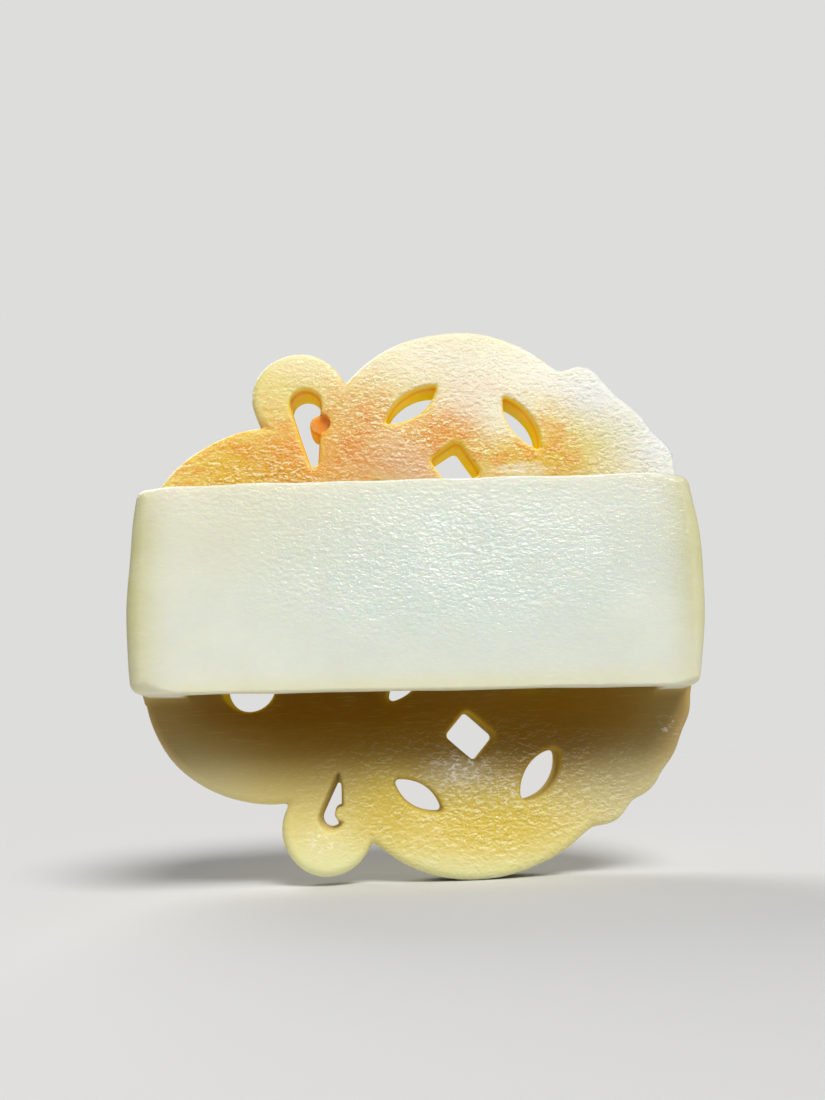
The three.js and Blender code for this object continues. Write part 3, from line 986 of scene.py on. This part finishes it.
class Nodes:
    """Short calls for building a material's node tree."""

    # The mix node's sockets for its share and its two colours, and the one for its result
    colour_mix_inputs = (0, 6, 7)
    colour_mix_output = 2

    def __init__(self, name):
        self.material = bpy.data.materials.new(name)
        self.material.use_nodes = True
        self.tree = self.material.node_tree
        self.shader = self.tree.nodes["Principled BSDF"]

    def add(self, kind, **settings):
        node = self.tree.nodes.new(kind)
        for key, value in settings.items():
            setattr(node, key, value)
        return node

    def link(self, output, socket):
        self.tree.links.new(output, socket)

    def math(self, operation, first, second):
        node = self.add("ShaderNodeMath", operation=operation)
        for value, socket in zip((first, second), node.inputs):
            if isinstance(value, (int, float)):
                socket.default_value = value
            else:
                self.link(value, socket)
        return node.outputs[0]

    def fitted(self, value, low, high, to_low=0.0, to_high=1.0, smooth=True):
        """A value fitted from one range to another."""
        node = self.add("ShaderNodeMapRange")
        node.interpolation_type = "SMOOTHSTEP" if smooth else "LINEAR"
        self.link(value, node.inputs["Value"])
        for name, number in (("From Min", low), ("From Max", high), ("To Min", to_low), ("To Max", to_high)):
            node.inputs[name].default_value = number
        return node.outputs[0]

    def mixed(self, share, first, second, blend="MIX"):
        """One colour mixed with another, which may be a plain colour."""
        node = self.add("ShaderNodeMix", data_type="RGBA", blend_type=blend)
        for value, number in zip((share, first, second), self.colour_mix_inputs):
            if isinstance(value, np.ndarray):
                node.inputs[number].default_value = (*value, 1)
            else:
                self.link(value, node.inputs[number])
        return node.outputs[self.colour_mix_output]

    def layered(self, colour, pattern, shows, where, tint):
        """A colour with a tint over it, where a pattern shows."""
        low, high, strength = shows
        share = self.math("MULTIPLY", self.fitted(pattern, low, high, 0.0, strength), where)
        return self.mixed(share, colour, tint)

    def stretched(self, per_mm, turn, shift=(0, 0, 0)):
        """Object coordinates scaled to cells per millimetre, and moved by a part of a cell."""
        coordinates = self.add("ShaderNodeTexCoord")
        mapping = self.add("ShaderNodeMapping")
        mapping.inputs["Scale"].default_value = tuple(n / MM for n in per_mm)
        mapping.inputs["Rotation"].default_value = tuple(math.radians(a) for a in turn)
        mapping.inputs["Location"].default_value = shift
        self.link(coordinates.outputs["Object"], mapping.inputs["Vector"])
        return mapping.outputs[0]

    def noise(self, per_mm, turn, detail, roughness, distortion, shift=(0, 0, 0)):
        node = self.add("ShaderNodeTexNoise")
        node.inputs["Scale"].default_value = 1.0
        node.inputs["Detail"].default_value = detail
        node.inputs["Roughness"].default_value = roughness
        node.inputs["Distortion"].default_value = distortion
        self.link(self.stretched(per_mm, turn, shift), node.inputs["Vector"])
        return node.outputs["Fac"]

    def cells(self, per_mm, turn):
        """Distance to the middle of the nearest of many scattered cells."""
        node = self.add("ShaderNodeTexVoronoi")
        node.inputs["Scale"].default_value = 1.0
        self.link(self.stretched(per_mm, turn), node.inputs["Vector"])
        return node.outputs["Distance"]


def ripples_with_painted_light(make, colour, glints):
    """Ripples nearly along the band, with painted glints where their slopes face up to the light and painted
    shade where they face down, and their heights.
    """
    painted_glints, painted_shades, heights = 0.0, 0.0, 0.0
    for pattern in (wide_ripples, fine_ripples):
        ripples = make.noise(**pattern)
        slope = make.math("SUBTRACT", ripples, make.noise(**pattern, shift=ripple_step))
        painted_glints = make.math("MAXIMUM", make.fitted(slope, *painted_glint_slopes), painted_glints)
        painted_shades = make.math("MAXIMUM", make.fitted(slope, *painted_shade_slopes), painted_shades)
        heights = make.math("ADD", ripples, heights)
    polish = make.math("MULTIPLY", make.fitted(make.noise(**drifts), *drift_range), glints)
    # Painted shade under the ripples and painted glints on their upward slopes, where the polish shows
    painted_shade_share = make.math("MULTIPLY", make.math("MULTIPLY", painted_shades, polish), painted_shade_strength)
    colour = make.mixed(painted_shade_share, colour, colour, "MULTIPLY")
    colour = make.mixed(painted_shade_share, colour, painted_shade_grey, "MULTIPLY")
    painted_glint_share = make.math("MULTIPLY", painted_glints, polish)
    return make.mixed(painted_glint_share, colour, painted_glint_cream, "SCREEN"), heights


def add_bumps(make, heights, glints):
    """Lets the ripples stand a little proud, most where the polish glints."""
    uneven = make.math("MULTIPLY", heights, make.fitted(glints, 0.0, 1.0, least_bump, 1.0, smooth=False))
    for socket, height in bump_heights.items():
        bump = make.add("ShaderNodeBump")
        bump.inputs["Strength"].default_value = 1.0
        bump.inputs["Distance"].default_value = height * MM
        make.link(uneven, bump.inputs["Height"])
        make.link(bump.outputs["Normal"], make.shader.inputs[socket])


def jade_material():
    make = Nodes("polished_jade")
    stone_colour = make.add("ShaderNodeAttribute", attribute_name="jade_colour")
    colour, gloss = stone_colour.outputs["Color"], stone_colour.outputs["Alpha"]
    marks_and_glints = make.add("ShaderNodeAttribute", attribute_name="jade_marks_and_glints")
    masks = make.add("ShaderNodeSeparateColor")
    make.link(marks_and_glints.outputs["Color"], masks.inputs[0])
    stain, glints, chips = masks.outputs
    scratches = marks_and_glints.outputs["Alpha"]
    plain = make.fitted(make.math("MAXIMUM", stain, scratches), 0.0, 1.0, 1.0, least_plain, smooth=False)

    # Clouds in the stone, a fine felt of paler fibres, then rust blots and gold specks in the stained skin
    colour = make.layered(colour, make.noise(**clouds), clouds_show, plain, cloud_white)
    colour = make.layered(colour, make.noise(**felt), felt_shows, plain, felt_white)
    colour = make.layered(colour, make.noise(**blots), blots_show, stain, rust)
    colour = make.layered(colour, make.cells(**specks), specks_show, stain, speck_gold)
    # Painted glints and painted shade on the ripples of the polish, and the ripples' heights
    colour, heights = ripples_with_painted_light(make, colour, glints)

    # Fine grinding scratches, and pale chips
    colour = make.layered(colour, make.noise(**scratch_lines), lines_show, scratches, scratch_gold)
    colour = make.layered(colour, make.noise(**flakes), flakes_show, chips, chip_white)

    make.link(colour, make.shader.inputs["Base Color"])
    make.link(gloss, make.shader.inputs["Coat Weight"])
    for socket, value in jade_surface.items():
        make.shader.inputs[socket].default_value = value
    add_bumps(make, heights, glints)
    return make.material


# Stage

floor_colour = srgb(212, 214, 217)
floor_roughness = 0.9
floor_size = 6.0
floor_gap = 0.05 * MM
backdrop_colour = srgb(221, 221, 220)
fill_colour = srgb(238, 243, 250)
fill_strength = 0.12
sun_colour = srgb(255, 251, 245)
key_from = (0.22, -0.62, 0.76)
key_strength = 3.0
key_breadth = 28
back_from = (-0.35, 0.65, 0.68)
back_strength = 1.3
back_breadth = 40


def floor_material():
    make = Nodes("pale_floor")
    make.shader.inputs["Base Color"].default_value = (*floor_colour, 1)
    make.shader.inputs["Roughness"].default_value = floor_roughness
    make.shader.inputs["Specular IOR Level"].default_value = 0.0
    return make.material


def add_floor():
    mesh = bpy.data.meshes.new("floor")
    half = floor_size / 2
    level = cad_box[0][2] - floor_gap
    corners = [(-half, -half, level), (half, -half, level), (half, half, level), (-half, half, level)]
    mesh.from_pydata(corners, [], [(0, 1, 2, 3)])
    floor = bpy.data.objects.new("floor", mesh)
    bpy.context.scene.collection.objects.link(floor)
    mesh.materials.append(floor_material())


def add_sun(name, comes_from, strength, breadth):
    """A sun from a direction, whose breadth in degrees softens its shadows."""
    light = bpy.data.lights.new(name, "SUN")
    light.energy = strength
    light.angle = math.radians(breadth)
    light.color = tuple(sun_colour)
    holder = bpy.data.objects.new(name, light)
    holder.rotation_euler = (-Vector(comes_from)).to_track_quat("-Z", "Y").to_euler()
    bpy.context.scene.collection.objects.link(holder)


def add_world():
    """Soft light from all round, and a plain pale backdrop where the camera looks past the floor."""
    world = bpy.data.worlds.new("studio")
    world.use_nodes = True
    tree = world.node_tree
    nodes = tree.nodes
    nodes.clear()
    path = nodes.new("ShaderNodeLightPath")
    seen = nodes.new("ShaderNodeBackground")
    seen.inputs["Color"].default_value = (*backdrop_colour, 1)
    fill = nodes.new("ShaderNodeBackground")
    fill.inputs["Color"].default_value = (*fill_colour, 1)
    fill.inputs["Strength"].default_value = fill_strength
    mix = nodes.new("ShaderNodeMixShader")
    output = nodes.new("ShaderNodeOutputWorld")
    tree.links.new(path.outputs["Is Camera Ray"], mix.inputs[0])
    tree.links.new(fill.outputs[0], mix.inputs[1])
    tree.links.new(seen.outputs[0], mix.inputs[2])
    tree.links.new(mix.outputs[0], output.inputs["Surface"])
    bpy.context.scene.world = world


# The photograph's camera, in millimetres and degrees, in the object's frame
camera_place = (-4.77, -109.74, -20.22)
camera_turn = (103.009, 2.144, -1.605)
nearest_seen = 1
farthest_seen = 20_000
photo_height = 1100
focal_pixels = 905
sensor_height = 36


def add_camera():
    camera = bpy.data.cameras.new("photo_camera")
    camera.sensor_fit = "VERTICAL"
    camera.sensor_height = sensor_height
    camera.lens = focal_pixels / photo_height * sensor_height
    camera.clip_start = nearest_seen * MM
    camera.clip_end = farthest_seen * MM
    holder = bpy.data.objects.new("photo_camera", camera)
    holder.location = Vector(camera_place) * MM
    holder.rotation_euler = [math.radians(a) for a in camera_turn]
    bpy.context.scene.collection.objects.link(holder)
    bpy.context.scene.camera = holder


jade = carve()
jade.data.materials.append(jade_material())
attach(jade, "root")
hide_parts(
    "ruyi_head", "upper_coin", "lower_coin", "bat", "strap_band", "left_end_wall", "right_end_wall")

add_floor()
add_camera()
add_world()
add_sun("key", key_from, key_strength, key_breadth)
add_sun("carved_side", back_from, back_strength, back_breadth)
bpy.context.scene.view_settings.view_transform = "Standard"
